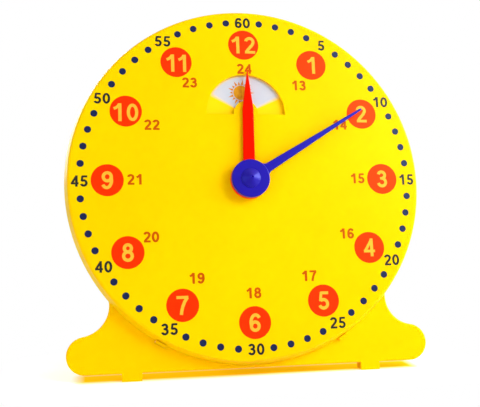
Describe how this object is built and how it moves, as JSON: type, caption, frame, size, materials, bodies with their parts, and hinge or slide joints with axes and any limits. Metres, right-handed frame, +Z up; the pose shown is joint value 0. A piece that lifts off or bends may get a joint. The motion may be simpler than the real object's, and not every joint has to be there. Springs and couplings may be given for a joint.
{
  "type": "geared teaching clock",
  "caption": "Easel-standing classroom clock with geared hour and minute hands, a rear setting knob, a day/night disc behind a half-ring window and a fold-away rear leg.",
  "frame": {"origin": "centre of the footprint, on the surface that the clock stands on", "axes": "+Z up, -Y towards the viewer of the dial, +X to the viewer's right"},
  "size_m": [0.303, 0.0853, 0.3069],
  "materials": {
    "yellow": "moulded, satin gloss",
    "red": "moulded, satin gloss",
    "blue": "moulded, satin gloss",
    "gear_white": "natural acetal",
    "disc_pale": "printed, satin",
    "steel": "zinc plated"
  },
  "bodies": {
    "clock_body": {"face_plate": "yellow", "back_plate": "yellow", "shell_screws": "steel", "arbor_bush": "gear_white", "friction_washer": "steel", "disc_washer": "steel", "intermediate_washer": "steel", "disc_screw": "steel", "intermediate_screw": "steel", "hinge_pin": "steel", "pin_clip": "steel"},
    "minute": {"minute_hand": "blue", "hub_cap": "blue", "minute_arbor": "steel", "minute_pinion": "gear_white", "setting_knob": "yellow", "knob_screw": "steel"},
    "hour": {"hour_hand": "red", "hour_gear": "gear_white", "hour_pinion": "gear_white"},
    "intermediate": {"intermediate_gear": "gear_white"},
    "day_night": {"day_night_wheel": "disc_pale"},
    "leg": {"easel_leg": "yellow"}
  },
  "joints": [
    {"name": "minute_turn", "type": "hinge", "parent": "clock_body", "child": "minute", "pos_m": [0, -0.01723, 0.15954], "axis": [0, 0.9848, -0.1736], "continuous": true},
    {"name": "hour_turn", "type": "hinge", "parent": "clock_body", "child": "hour", "pos_m": [0, -0.01723, 0.15954], "axis": [0, 0.9848, -0.1736], "continuous": true},
    {"name": "intermediate_turn", "type": "hinge", "parent": "clock_body", "child": "intermediate", "pos_m": [0, -0.02505, 0.11523], "axis": [0, 0.9848, -0.1736], "continuous": true},
    {"name": "day_night_turn", "type": "hinge", "parent": "clock_body", "child": "day_night", "pos_m": [0, -0.00707, 0.21715], "axis": [0, 0.9848, -0.1736], "continuous": true},
    {"name": "leg_fold", "type": "hinge", "parent": "clock_body", "child": "leg", "pos_m": [0, 0.00262, 0.11949], "axis": [-1, 0, 0], "range_deg": [0, 27]}
  ],
  "couplings": [
    {"joint": "intermediate_turn", "follows": "minute_turn", "ratio": -0.33333},
    {"joint": "hour_turn", "follows": "minute_turn", "ratio": 0.083333},
    {"joint": "day_night_turn", "follows": "minute_turn", "ratio": -0.041667}
  ]
}
